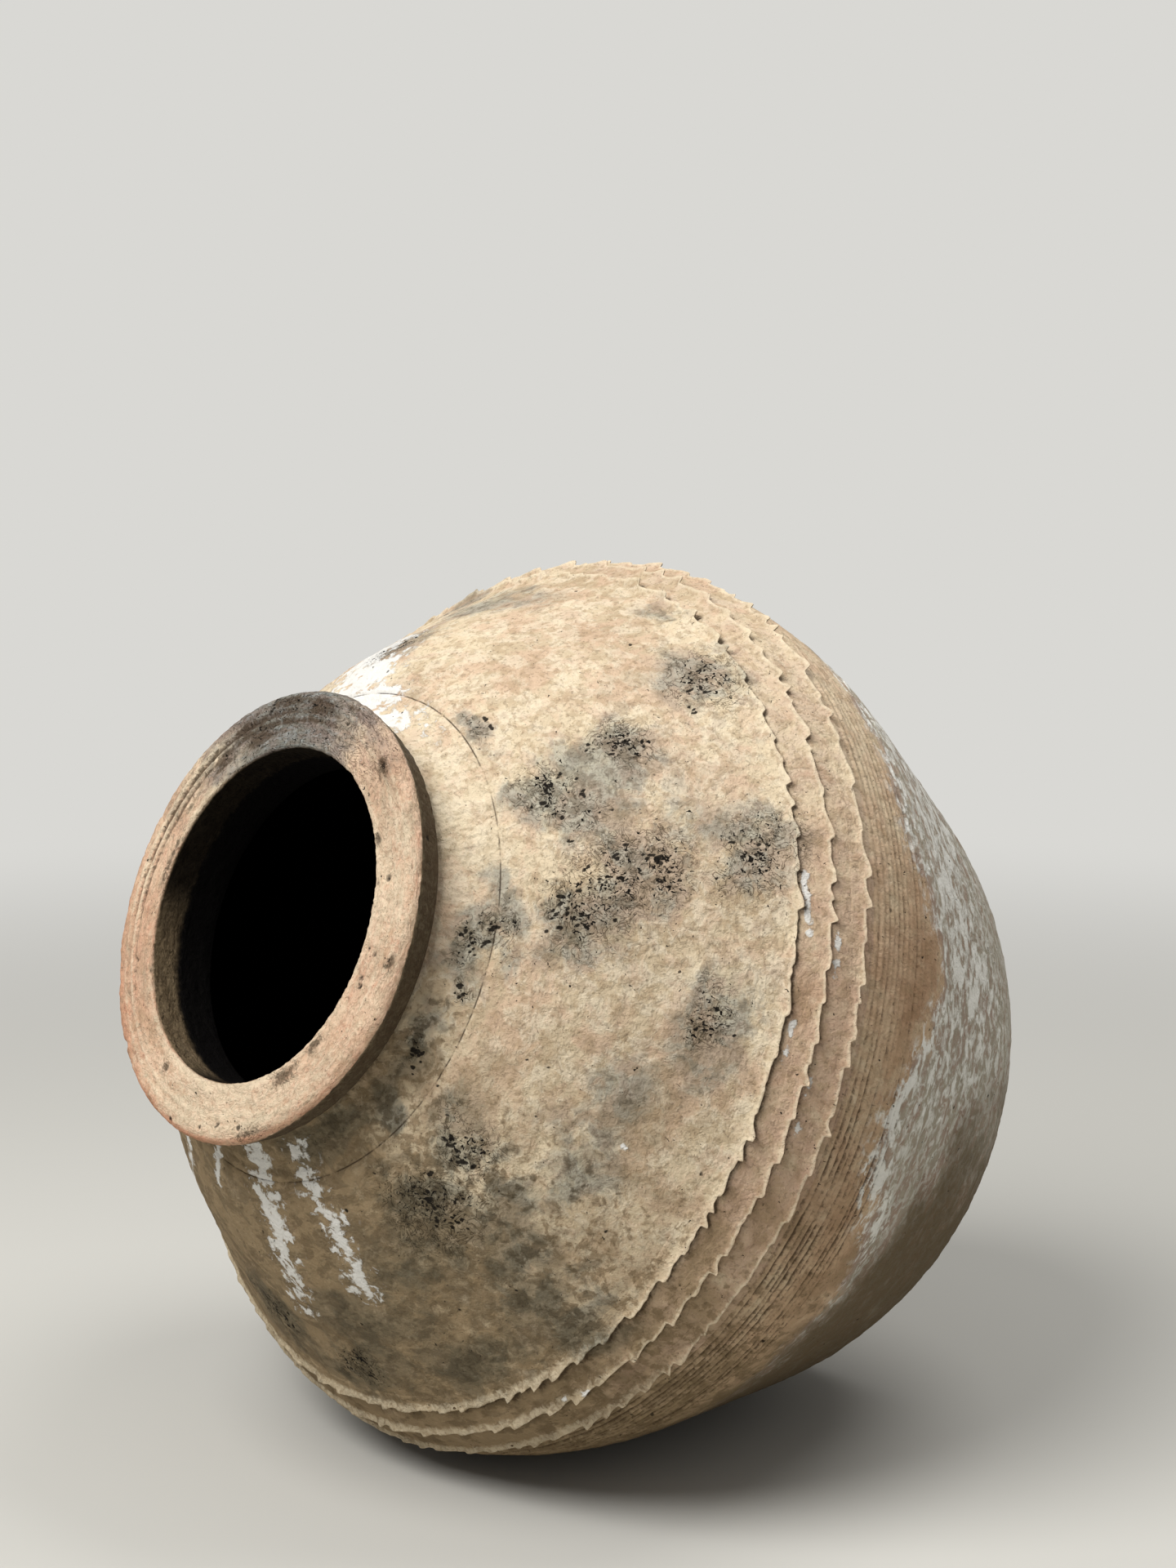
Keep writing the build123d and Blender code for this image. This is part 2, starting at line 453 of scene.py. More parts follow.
def combing(turn, height):
    """Depth of the combed grooves at a place: one comb, so they wander together."""
    total = np.zeros(np.broadcast(turn, height).shape)
    sway = sum(depth * grain(wrapped(turn, comb_top), *bumps) for depth, bumps in sway_bumps)
    for order, (level, depth) in enumerate(zip(comb_levels, comb_depths)):
        at = wrapped(turn, level)
        drift = sway + drift_depth * grain(at, drift_size, drift_seed + order)
        press = press_base + press_depth * grain(at, press_size, press_seed + order)
        total += depth * press * bell(height - level - drift, groove_reach)
    return total


# Pits where salt and grit have burst out of the shoulder: most lie in straggling strings
pit_seed = 8
string_every = 2.6
string_spread = 0.5
string_counts = (1, 5)
string_step = 3.8
string_reaches, string_depths = (0.7, 1.4), (0.7, 1.5)
loose_count = 170
loose_from = 60
loose_reaches, loose_depths = (1.0, 1.7), (0.4, 0.8)


def pit_places():
    """Each pit's turn, place along the skin, reach and depth."""
    pick = np.random.default_rng(pit_seed)
    pits = []
    for middle, level, wide, tall in pitted_places:
        for _ in range(round(wide / string_every)):
            off = pick.normal(0, string_spread, 2) * (wide, tall)
            for _ in range(pick.integers(*string_counts)):
                turn = math.radians(middle) + off[0] / skin_radius(level)
                size = pick.uniform(*string_reaches), pick.uniform(*string_depths)
                pits.append((turn, along_at(level) + off[1], *size))
                off = off + pick.uniform(-string_step, string_step, 2)
    for _ in range(loose_count):
        place = pick.uniform(0, 2 * math.pi), pick.uniform(loose_from, skin_along[-1])
        pits.append((*place, pick.uniform(*loose_reaches), pick.uniform(*loose_depths)))
    return pits


pits = pit_places()
pit_fade = 3


def pitting(turn, along, radius):
    """Depth of the pits over places, row by row."""
    total = np.zeros(turn.shape)
    for at_turn, at_along, size, depth in pits:
        rows = np.nonzero(np.abs(along[:, 0] - at_along) < pit_fade * size)[0]
        if not len(rows):
            continue
        gap = (turn[rows] - at_turn + math.pi) % (2 * math.pi) - math.pi
        far = (gap * radius[rows]) ** 2 + (along[rows] - at_along) ** 2
        total[rows] = np.maximum(total[rows], depth * np.exp(-far / size**2))
    return total


# The worn skin: depth and bumps of each unevenness, and the dirt and painted shade in its hollows
skin_draw = (1, 1, 0.6)
lump_depth, lump_bumps = 0.55, (12, 21)
grit_depth, grit_bumps = 0.35, (3.8, 24)
throw_depth, throw_pitch, throw_heights = 0.26, 1.2, (500, 530)
throw_sway, throw_bumps = 2, (120, 25)
band_depth, band_draw, band_bumps = 0.35, (0.05, 0.05, 1), (7, 26)
low_turns, low_back = (84, 112), (0, 60)
low_end = 300
# Darkening of the comb's grooves, more of it on the low side: painted shade in the grooves, with
# some dirt
low_comb, comb_shade_and_dirt, low_comb_shade = 0.8, 0.32, 0.22
comb_loss, comb_worn_bumps, comb_worn_shares = 0.4, (30, 28), (0.1, 0.5)
undercut_depth, undercut_top, undercut_edge, undercut_least = 1.1, 2.5, 1.5, 2
undercut_share, low_undercut, low_undercut_turns = 0.6, 0.8, (115, 160)
hairline_depth, hairline_reach = 0.7, 0.9
burst_share = 1.3


def weathered(turn, along, height, radius):
    """How far the worn skin lies inside the true round, its dirt and painted shade, and where it
    has burst.
    """
    at = wrapped(turn, along)
    turn_once = turn[:1]
    degrees = np.degrees(turn_once)
    drawn = at * skin_draw
    rough = lump_depth * (layered(drawn, *lump_bumps) - 1)
    rough = rough + grit_depth * (grain(drawn, *grit_bumps) - 1)
    rings = np.sin(along / throw_pitch + throw_sway * grain(at, *throw_bumps)) - 1
    throwing = throw_depth * rings * ramp(height, *throw_heights)
    bands = band_depth * (grain(at * band_draw, *band_bumps) - 1)
    low = ramp(degrees, *low_turns) * ramp(low_end - degrees, *low_back)
    comb = combing(turn_once, height) * (1 + low_comb * low)
    comb = comb * (1 - comb_loss * ramp(layered(at, *comb_worn_bumps), *comb_worn_shares))
    undercut = np.zeros(turn.shape)
    for name in frill_heights:
        edge, stand = lip_edge(name, turn_once)
        below = edge - height
        reach = undercut_share + low_undercut * past(degrees, *low_undercut_turns)
        reach = undercut_least + reach * stand
        under = ramp(below + undercut_top, 0, undercut_edge) * ramp(reach - below, 0, reach)
        undercut = np.maximum(undercut, under)
    burst = pitting(turn, along, radius)
    hairline = hairline_depth * bell(along - along_at(neck_foot[1]), hairline_reach)
    depth = wobble(turn, along) + rough + throwing + bands
    depth = depth - comb - undercut_depth * undercut - burst - hairline
    # Painted shade: the comb's grooves and the hollow under each lip's edge are darkened, with some
    # dirt there too
    dirt_and_shade = np.clip(comb * (comb_shade_and_dirt + low_comb_shade * low) + undercut, 0, 1)
    return depth, dirt_and_shade, np.clip(burst * burst_share, 0, 1)


# What lies on the clay: strengths from 0 to 1, bumps, and bounds in degrees or millimetres
splash_strength = 1.25
crumb_cover, crumb_gaps, crumb_bumps = 0.85, 0.7, (4.5, 20)
wash_thickness, wash_thinning, wash_middle = 0.64, 0.32, 58
far_crust, near_crust, near_loss = 0.85, 0.55, 0.8
# Earth towards the underside and grime under the collar double as painted shade there
earth_shade_turn, neck_shade_and_grime = 0.35, 0.7
olive_top, olive_rise, olive_loss = 190, 90, 0.3
haze_strength = 0.7
soot_cover, soot_gaps, soot_draw, soot_bumps = 0.88, 0.5, (1, 1, 1.5), (30, 14)
belt_brown, brown_least, brown_gain = 0.8, 0.35, 0.55
# Painted light on the neck just under the collar, which lightens the shade that the collar casts
# there
neck_painted_light, neck_light_middle, neck_light_reach = 0.62, 58, 36


def lime_on(turn, height, off_turn, off_height):
    """Lime splashed on round the neck, run down from it, and left in crumbs on the lips."""
    lime = splash_strength * patches(off_turn, off_height, lime_places)
    for run in lime_runs:
        lime = np.maximum(lime, run_down(turn, height, run))
    crumbly = crumb_cover + crumb_gaps * grain(wrapped(turn, along_at(height)), *crumb_bumps)
    return np.maximum(lime, crumbly * patches(turn, height, lime_crumbs))


def wash_on(turn, around_at, off_height):
    """The thin lime wash below its ragged edge, and the thicker crust that is left of it."""
    below = np.interp(around_at, *zip(*wash_bounds)) - off_height
    thick = wash_thickness + wash_thinning * np.cos(turn - math.radians(wash_middle))
    far = ramp(below, 10, 34) * ramp(180 - below, 0, 100) * (1 - past(around_at, 62, 112))
    near = bell(below - 12, 16) * (near_crust + (1 - near_crust) * past(around_at, 72, 84))
    near = near * (1 - near_loss * past(around_at, 100, 120))
    return ramp(below, -8, 16) * thick, np.maximum(near, far_crust * far) * thick


def grime_and_shade_on(turn, height, radius, around_at, off_height):
    """Brown earth and painted shade on the underside, the collar's painted shadow with grime on the
    neck under it, and olive grime on the lower side.
    """
    # Browner and darker towards the underside, as brown earth and painted shade; the neck just
    # under the collar is darkened as the collar's painted shadow, with some grime
    earth_and_shade = ramp((1 - np.cos(turn - earth_shade_turn)) / 2, 0.3, 0.95)
    neck = ramp(around_at, 80, 120) * ramp(250 - around_at, 0, 60) * ramp(height, 512, 532)
    off_floor = laid_down(spun(radius, height, turn))[..., 2] / MM
    far = ramp(around_at, 170, 190)
    low = ramp(around_at, 70, 118) * (1 - far) + ramp(250 - off_floor, 0, 190) * far
    edge = olive_top + olive_rise * ramp(around_at, 80, 130)
    olive = low * ramp(edge - off_height, 0, 80) * (1 - olive_loss * ramp(off_height, 400, 440))
    return np.maximum(earth_and_shade, neck_shade_and_grime * neck), olive


def coats(turn, height, radius, dirt_and_shade, burst, inside):
    """What lies on the clay at each place, from 0 to 1, with painted shade and light among it. The
    inside holds nothing but painted shade.
    """
    off_turn, off_height = strayed(turn, height)
    around_at = np.degrees(off_turn) % 360
    wash, crust = wash_on(turn, around_at, off_height)
    earth_and_shade, olive = grime_and_shade_on(turn, height, radius, around_at, off_height)
    haze = haze_strength * patches(off_turn, off_height, hazy_places)
    soot = np.maximum(patches(off_turn, off_height, sooty_places), haze)
    torn = soot_cover + soot_gaps * grain(wrapped(turn, along_at(height)) * soot_draw, *soot_bumps)
    bare = np.maximum(ramp(346 - height, 0, 50), belt_brown * ramp(392 - height, 0, 8))
    # Where the neck under the collar is painted lighter, against the collar's shade
    highlight_share = bell(around_at - neck_light_middle, neck_light_reach)
    marks = {
        "soot": torn * soot,
        "pitted": patches(off_turn, off_height, pitted_places),
        "lime": lime_on(turn, height, off_turn, off_height),
        "wash": wash,
        "crust": crust,
        # Bare brown clay, browner further round from the upper side
        "terracotta": bare * (brown_least + brown_gain * past(around_at, 35, 85)),
        "earth_and_shade": earth_and_shade,
        "olive": olive,
        "crest": neck_painted_light * ramp(height, 508, 524) * highlight_share,
    }
    marks = {label: values * (1 - inside) for label, values in marks.items()}
    return {**marks, "dirt_and_shade": dirt_and_shade, "burst": burst, "inside_shade": inside}


# Meshes
sharp_angle = 55
pole_map = 0.9


def linked(name, data):
    """A new object in the scene."""
    thing = bpy.data.objects.new(name, data)
    bpy.context.scene.collection.objects.link(thing)
    return thing


def ring_faces(rows, columns, last):
    """Faces between rows of places round the jar, and their corners on the flat map."""
    row, column = np.meshgrid(np.arange(last), np.arange(columns), indexing="ij")
    row, column = row.ravel(), column.ravel()
    quads, corners = [], []
    for up, aside in ((0, 0), (0, 1), (1, 1), (1, 0)):
        quads.append((row + up) % rows * columns + (column + aside) % columns)
        corners.append(np.stack([column / columns + aside / columns, row / rows + up / rows], 1))
    return np.stack(quads, axis=1), np.stack(corners, axis=1)


def pole_faces(end, rows, columns, pole):
    """Faces that close one end of the rows on a pole, and their corners on the flat map."""
    faces, corners = [], []
    for one in range(columns):
        pair = [end * columns + one, end * columns + (one + 1) % columns]
        faces.append([*(pair[::-1] if end == 0 else pair), pole])
        spots = [(one, end), (one + 1, end), (one + 0.5, end + pole_map)]
        corners.append(np.array([(across / columns, up / rows) for across, up in spots]))
    return faces, corners


def keep(mesh, label, kind, field, values):
    """Keeps values at the mesh's places, under the label by which the clay reads them."""
    flat = values.astype(np.float32).ravel()
    mesh.attributes.new(label, kind, "POINT").data.foreach_set(field, flat)


def ring_solid(name, places, turn, along, radius, marks, poles=()):
    """A closed mesh from rows of places round the jar, or one whose two ends close on poles."""
    rows, columns = places.shape[:2]
    quads, corners = ring_faces(rows, columns, rows - 1 if poles else rows)
    spots = places.reshape(-1, 3)
    first, second, third, fourth = (spots[quads[:, corner]] for corner in range(4))
    volume = np.sum(np.cross(first, second) * third + np.cross(first, third) * fourth)
    faces, uvs = quads.tolist(), list(corners)
    for end, pole in zip((0, rows - 1), poles):
        spots = np.concatenate([spots, [pole]])
        closing, closing_uvs = pole_faces(end, rows, columns, len(spots) - 1)
        faces += closing
        uvs += closing_uvs
    mesh = bpy.data.meshes.new(name)
    mesh.from_pydata(laid_down(spots).tolist(), [], faces)
    if volume < 0:
        # A flipped face keeps its first corner and turns the others round
        mesh.flip_normals()
        uvs = [np.concatenate([corner[:1], corner[:0:-1]]) for corner in uvs]
    flat = np.concatenate(uvs).astype(np.float32).ravel()
    mesh.uv_layers.new(name="OFBake").data.foreach_set("uv", flat)
    for label, values in marks.items():
        values = np.broadcast_to(values, (rows, columns)).ravel()
        keep(mesh, label, "FLOAT", "value", np.append(values, [values[0]] * len(poles)))
    sleeve = wrapped(turn, along, radius).reshape(-1, 3)
    sleeve = np.concatenate([sleeve, np.zeros((len(poles), 3))])
    keep(mesh, "sleeve", "FLOAT_VECTOR", "vector", sleeve)
    keep(mesh, "upright", "FLOAT_VECTOR", "vector", spots)
    mesh.shade_smooth()
    mesh.set_sharp_from_angle(angle=math.radians(sharp_angle))
    return linked(name, mesh)


inner_calm = 30


def wall_piece(name, foot, top, step, inner_foot, inner_top):
    """One lift of the wall between two seams, weathered outside and plain within, where it is
    painted near black for shade.
    """
    count = max(int(round((along_at(top) - along_at(foot)) / step)), 2) + 1
    along = np.linspace(along_at(foot), along_at(top), count)[:, None]
    radius, height, (out, up) = skin_at(along)
    turn, along, height, radius = np.broadcast_arrays(around, along, height, radius)
    depth, dirt_and_shade, burst = weathered(turn, along, height, radius)
    outer = spun(radius + depth * out, height + depth * up, turn)

    inner_height = np.linspace(inner_top, inner_foot, inner_rows)[:, None] + 0 * around
    inner_turn = np.broadcast_to(around, inner_height.shape)
    inner_along = along_at(inner_height)
    inner_radius = np.interp(inner_height, hollow[:, 1], hollow[:, 0])
    calm = ramp(neck_waist[1] - inner_height, 0, inner_calm)
    inner = spun(inner_radius + wobble(inner_turn, inner_along) * calm, inner_height, inner_turn)

    none = np.zeros(inner_height.shape)
    pairs = (
        (outer, inner), (turn, inner_turn), (along, inner_along), (height, inner_height),
        # The inner rows are marked as inside, which paints them as shade
        (radius, inner_radius), (dirt_and_shade, none), (burst, none), (np.zeros(turn.shape), none + 1),
    )
    places, turn, along, height, radius, dirt_and_shade, burst, inside = map(np.concatenate, pairs)
    marks = coats(turn, height, radius, dirt_and_shade, burst, inside)
    return ring_solid(name, places, turn, along, radius, marks)


hub_radius = 4
disc_rows, edge_rows = 60, 9
dish_depth, dish_inset, dish_reach = 2.2, 12, 60
wire_depth, wire_pitch, wire_bow = 0.35, 2.1, 0.004
sole_depth, sole_bumps = 0.5, (9, 61)
sole_rise, sole_rim = 1.5, 7
heel_rise, heel_reach = 1.5, 3
sole_dirt = 0.25


def slab_piece(name):
    """The flat foot: a disc, a little hollow underneath and marked by the wire that cut it off."""
    disc = np.linspace(hub_radius, base_radius, disc_rows)[:-1]
    along = np.linspace(0, along_at(slab_edge_height), edge_rows)
    edge_radius, edge_height, _ = skin_at(along)
    upper = [base_radius, base_radius / 2, hub_radius]
    stretches = (
        (disc, edge_radius, upper),
        (disc * 0, edge_height, [slab_thickness] * len(upper)),
        (disc - base_radius, along, [along[-1]] * len(upper)),
    )
    radius, height, run = (np.concatenate(stretch)[:, None] + 0 * around for stretch in stretches)
    turn = np.broadcast_to(around, radius.shape)
    sole, heel, inside = np.zeros((3, *radius.shape))
    sole[: len(disc)] = 1
    heel[len(disc) : -len(upper)] = 1
    # The inner face of the foot is painted as shade inside the jar
    inside[-len(upper) :] = 1

    at = spun(radius, 0, turn)
    dish = dish_depth * ramp(base_radius - dish_inset - radius, 0, dish_reach)
    wire = wire_depth * (1 + np.sin((at[..., 0] + wire_bow * at[..., 1] ** 2) / wire_pitch))
    wire = wire * ramp(base_radius - radius, 4, 20)
    grit = sole_depth * (1 + layered(at, *sole_bumps))
    rim = sole_rise * ramp(radius, base_radius - sole_rim, base_radius)
    rise = sole * (dish + wire + grit + rim)
    rise = rise + heel_rise * heel * ramp(heel_reach - run, 0, heel_reach)
    depth, dirt_and_shade, burst = weathered(turn, np.maximum(run, 0), height, radius)
    places = spun(radius + heel * depth, height + rise, turn)
    marks = coats(turn, height, radius, dirt_and_shade * heel + sole * sole_dirt, burst * heel, inside)
    poles = ((0, 0, places[0, 0, 2]), (0, 0, slab_thickness))
    return ring_solid(name, places, turn, run, radius, marks, poles)


# The collar. Stains on its face: turn, share of the way out, and reach round and across it
rim_stains = [
    (38, 0.62, 8, 6), (58, 0.12, 5, 4), (128, 0.16, 8, 4), (143, 0.2, 14, 6), (205, 0.3, 4, 4),
    (160, 0.9, 16, 5), (335, 0.35, 10, 7), (95, 0.75, 6, 4), (280, 0.08, 24, 3),
    (347, 0.86, 15, 6), (2, 0.72, 13, 5), (329, 0.62, 9, 5), (14, 0.92, 9, 5), (318, 0.4, 8, 4),
]
# Grooves in its face: share of the way out, and depth
rim_grooves = ((0.30, 0.9), (0.46, 2.2), (0.62, 2.1), (0.78, 0.7))
rim_groove_width, ridge_off, ridge_width = 0.05, 0.08, 0.035
groove_drift, groove_drift_size, groove_drift_seed = 0.02, 90, 80
groove_left, groove_wear_size, groove_wear_seed = 0.2, 70, 84
face_sink, ridge_rise = 0.5, 0.5
collar_rows = 81
rim_lumps, rim_lump_bumps, rim_grit, rim_grit_bumps, rim_calm = 0.35, (12, 90), 0.3, (4, 93), 0.8
slump_depth, slump_base, slump_spread, slump_bumps = 3.6, 0.6, 0.4, (80, 95)
nick_depth, nick_bumps = 1.3, (22, 97)
chip_seed, chip_count, chip_places, chip_sizes = 12, 70, (20, 100), (1.1, 3.4)
# Raggedness of the painted shade deep in the mouth
throat_shade_spread, throat_bumps = 2.5, (9, 98)
# Parts of its girth: middle turn and reach in degrees
best_grooves, sooty_top, pale_lip, red_edge = (305, 58), (-10, 34), (172, 48), (215, 50)
pale_face = ((325, 42), (72, 34))
# Its sides: the turn that each is towards, and the cosines at which it begins and is full
slumped_side, lit_throat, shaded_side = (100, -0.2, 0.8), (230, 0.7, 0.95), (105, -0.3, 0.6)


def about(turn, middle, reach):
    return bell(gap_from(turn, middle), reach)


def towards(turn, middle, low, high):
    return ramp(np.cos(turn - math.radians(middle)), low, high)


def collar_section():
    """Half section of the collar, from its foot in the mouth out over its face and back."""
    foot = jar_height - collar_height
    outer = mouth_radius + collar_width
    side_top = np.array((outer, jar_height - collar_round))
    side_foot = np.array((outer - collar_taper, foot))
    side_way = (side_foot - side_top) / np.linalg.norm(side_foot - side_top)
    foot_start = side_foot - side_way * collar_foot_round
    foot_end = side_foot - (collar_foot_round, 0)
    mouth_edge = (mouth_radius, jar_height - mouth_round)
    return np.concatenate(
        [
            [(mouth_radius, foot), mouth_edge],
            arc(mouth_edge, (mouth_radius + mouth_round, jar_height), (0, 1)),
            arc((outer - collar_round, jar_height), side_top, (1, 0)),
            arc(foot_start, foot_end, side_way),
            [(mouth_radius, foot)],
        ]
    )


def face_grooves(turn, share, at):
    """Grooves and ridges that the wheel left in the collar's face, worn away on most sides."""
    grooves, ridges = np.zeros((2, *turn.shape))
    level = at * (1, 1, 0)
    best = about(turn, *best_grooves)
    for order, (place, press) in enumerate(rim_grooves):
        drift = groove_drift * grain(level, groove_drift_size, groove_drift_seed + order)
        worn = ramp(grain(level, groove_wear_size, groove_wear_seed + order), -0.9, 0.1)
        wear = groove_left + (1 - groove_left) * best * worn
        grooves += press * wear * bell(share - place - drift, rim_groove_width)
        ridges += wear * bell(share - place - drift - ridge_off, ridge_width) * (press > 1)
    return grooves, ridges


def face_stains(turn, share, radius):
    stains = np.zeros(turn.shape)
    for middle, place, wide, tall in rim_stains:
        stain = bell(np.radians(gap_from(turn, middle)) * radius, wide)
        stains = np.maximum(stains, stain * bell((share - place) * collar_width, tall))
    return stains


def rim_chips(turn, even, radius):
    chips = np.zeros(turn.shape)
    pick = np.random.default_rng(chip_seed)
    for _ in range(chip_count):
        at_turn, at_even = pick.uniform(0, 2 * math.pi), pick.uniform(*chip_places)
        size = pick.uniform(*chip_sizes)
        gap = (turn - at_turn + math.pi) % (2 * math.pi) - math.pi
        chip = (0.5 + size / 3) * bell(gap * radius, size) * bell(even - at_even, size)
        chips = np.maximum(chips, chip)
    return chips


def collar_piece(name):
    """The turned collar: a flat face with worn grooves, rounded outside, tapering to its foot."""
    section = collar_section()
    length = lengths_along(section)
    even = np.linspace(0, length[-1], collar_rows + 1)[:-1, None]
    radius, height = (np.interp(even, length, section[:, side]) for side in (0, 1))
    way = np.gradient(section, axis=0)
    way = np.concatenate([np.interp(even, length, way[:, side]) for side in (0, 1)], axis=1)
    out = -square_to(way)
    turn, radius, height, even = np.broadcast_arrays(around, radius, height, even)
    at = wrapped(turn, even)
    below, foot = jar_height - height, height - (jar_height - collar_height)
    on_face = ramp(below, 3, 0.5)
    share = (radius - mouth_radius) / collar_width
    grooves, ridges = face_grooves(turn, share, at)
    chips = rim_chips(turn, even, radius)

    rough = rim_lumps * (rim_calm - layered(at, *rim_lump_bumps))
    rough = rough + rim_grit * (rim_calm - grain(at, *rim_grit_bumps))
    slump = slump_depth * towards(turn, *slumped_side) * ramp(share, 0.62, 1.0)
    slump = slump * (slump_base - slump_spread * grain(at, *slump_bumps))
    nicks = nick_depth * ramp(grain(at, *nick_bumps), 0.25, 0.8)
    nicks = nicks * ramp(share, 0.8, 1.0) * ramp(foot, 6, collar_height)
    sunk = (grooves + face_sink - ridge_rise * ridges) * on_face
    seated = (foot < 0.5) | ((radius < mouth_radius + 0.5) & (foot < 4))
    depth = np.where(seated, 0, -(rough + nicks + sunk + slump + chips))
    places = spun(radius + depth * out[:, :1], height + depth * out[:, 1:], turn)

    top = about(turn, *sooty_top)
    throat = ramp(mouth_radius + 1.2 - radius, 0, 1.2) * ramp(below, 1.5, 4)
    deep = ramp(below + throat_shade_spread * layered(at, *throat_bumps), 17, 25)
    side = ramp(below, 5, 13) * (1 - throat)
    shaded = towards(turn, *shaded_side)
    stains = face_stains(turn, share, radius)
    low_face = about(turn, *pale_lip) * on_face
    pale = np.max([about(turn, *part) for part in pale_face], axis=0)
    red = about(turn, *red_edge) * ramp(share, 0.55, 1.0)
    # The collar's outer side is darkened all round, and most on its shaded side: soot and painted
    # shade
    soot = top * (1.2 - 0.8 * side) * (1 - throat) + (0.5 + 0.65 * shaded) * side + 0.05
    terracotta = 0.45 + 0.6 * red - 0.35 * low_face - 0.45 * top - 0.3 * pale
    # Darkening in the face's grooves and on the side's shaded part is painted shade; the stains are
    # the clay's own
    dirt_and_shade = (grooves * 0.5 + 0.3 * top + 0.9 * stains) * on_face + 0.75 * side * shaded
    # Pale paint on the face's ridges and its inner edge is a painted highlight; elsewhere the face
    # is made paler in patches, low down and at two turns
    crest = ramp(0.2 - share, 0, 0.14) * 0.4 + 1.4 * ridges + 0.75 * low_face + 0.55 * pale
    marks = {
        "soot": np.clip(soot, 0, 1.7),
        "pitted": 0.12 + 0.4 * top + 0.3 * stains,
        "wash": 0.8 * top * (1 - throat),
        "terracotta": np.clip(terracotta, 0, 1),
        # The earth brown on the collar's side is painted shade, most on the shaded side
        "earth_and_shade": np.maximum(1.5 * side * (0.3 + 0.7 * shaded), throat),
        "dirt_and_shade": np.clip(dirt_and_shade, 0, 1),
        "burst": np.clip(chips * 0.35, 0, 1),
        "crest": np.clip(crest * on_face, 0, 1.4),
        # The throat is painted near black for the shade inside the mouth, less so where light falls
        # on it
        "inside_shade": throat * np.maximum(deep, 0.94 - 0.62 * towards(turn, *lit_throat)),
    }
    marks.update({label: 0.0 * turn for label in ("lime", "crust", "olive")})
    return ring_solid(name, places, turn, even * 2, radius, marks)


# A frilled lip's section. Buried in the wall: how far past its root, and how far off the skin
lip_buried = ((1.5, -3.5), (0, -lip_root))
# Its upper face: share of the way from its edge to its root, and share of its stand
lip_rise = (
    (0.85, 0.03), (0.65, 0.08), (0.47, 0.18), (0.33, 0.36), (0.21, 0.62), (0.11, 0.87), (0.03, 1.0),
)
# Round its edge, and then hollow beneath it and back into the wall: how far past its edge
lip_fall = ((-0.1, 0.9), (0.1, 0.7), (1.0, 0.45))
lip_back = ((2.2, -0.4), (3.2, -3.4))
root_spread, root_bumps = 1.2, (40, 36)
lip_lumps, lip_lump_bumps, lumpy_rows = 0.35, (5, 37), range(2, 9)
box_gap = 0.1
# Rows of the section that get a painted highlight along the edge, partly rubbed pale, and the
# shares of it: all round, and low down
crest_rows, crest_shares, crest_loss = slice(6, 9), (0.4, 0.9, 0.9), 0.25
low_rows, low_shares = slice(4, 8), (0.45, 0.7, 0.75, 0.75)
# Rows beneath the lip, darkened: painted shade under the lip, with some dirt caught there
under_rows, under_shade_and_dirt, low_under_shade = slice(10, None), 0.65, 0.3


def frill_piece(name):
    """A frilled lip: rooted in the wall, thin and torn along its free edge, hollow beneath it."""
    columns = turns * 2
    turn = np.radians(np.arange(columns) * 360 / columns)
    edge, stand = lip_edge(name, turn)
    root = frill_heights[name] + lip_reach + root_spread * grain(wrapped(turn, 0), *root_bumps)
    limit = (cad_box[1].x / MM - box_gap) / np.maximum(np.abs(np.sin(turn)), 0.5)
    most = top_stand + (side_stand - top_stand) * ramp(np.sin(turn), 0.35, 0.75)
    section = [(root + past_root, off) for past_root, off in lip_buried]
    for back, up in lip_rise:
        section.append((edge + (root - edge) * back, (stand + lip_root) * up - lip_root))
    section += [(edge + past_edge, stand * up) for past_edge, up in lip_fall]
    section += [(edge + past_edge, off) for past_edge, off in lip_back]
    rows = []
    for order, (height, off) in enumerate(section):
        along = along_at(height)
        radius, _, (out, up) = skin_at(along)
        lumps = lip_lumps * grain(wrapped(turn, along), *lip_lump_bumps) * (order in lumpy_rows)
        lift = np.minimum(wobble(turn, along) + off + lumps, most)
        rows.append((np.minimum(radius + lift * out, limit), height + lift * up, along))
    radius, height, along = (np.stack(values) for values in zip(*rows))
    all_turn = np.broadcast_to(turn, radius.shape)
    crest, under = np.zeros((2, *radius.shape))
    # The lip's edge gets a painted highlight, and the hollow beneath it painted shade
    low = past(np.degrees(turn), 112, 150)
    highlight_share = 1 - crest_loss * past(np.degrees(turn), 100, 150)
    crest[crest_rows] = np.array(crest_shares)[:, None] * highlight_share
    crest[low_rows] = np.maximum(crest[low_rows], np.array(low_shares)[:, None] * low)
    under[under_rows] = under_shade_and_dirt + low_under_shade * low
    marks = coats(all_turn, height, radius, under, 0 * radius, 0 * radius)
    marks["crest"] = crest
    places = spun(radius, height, all_turn)
    return ring_solid("torn_" + name, places, all_turn, along, radius, marks)


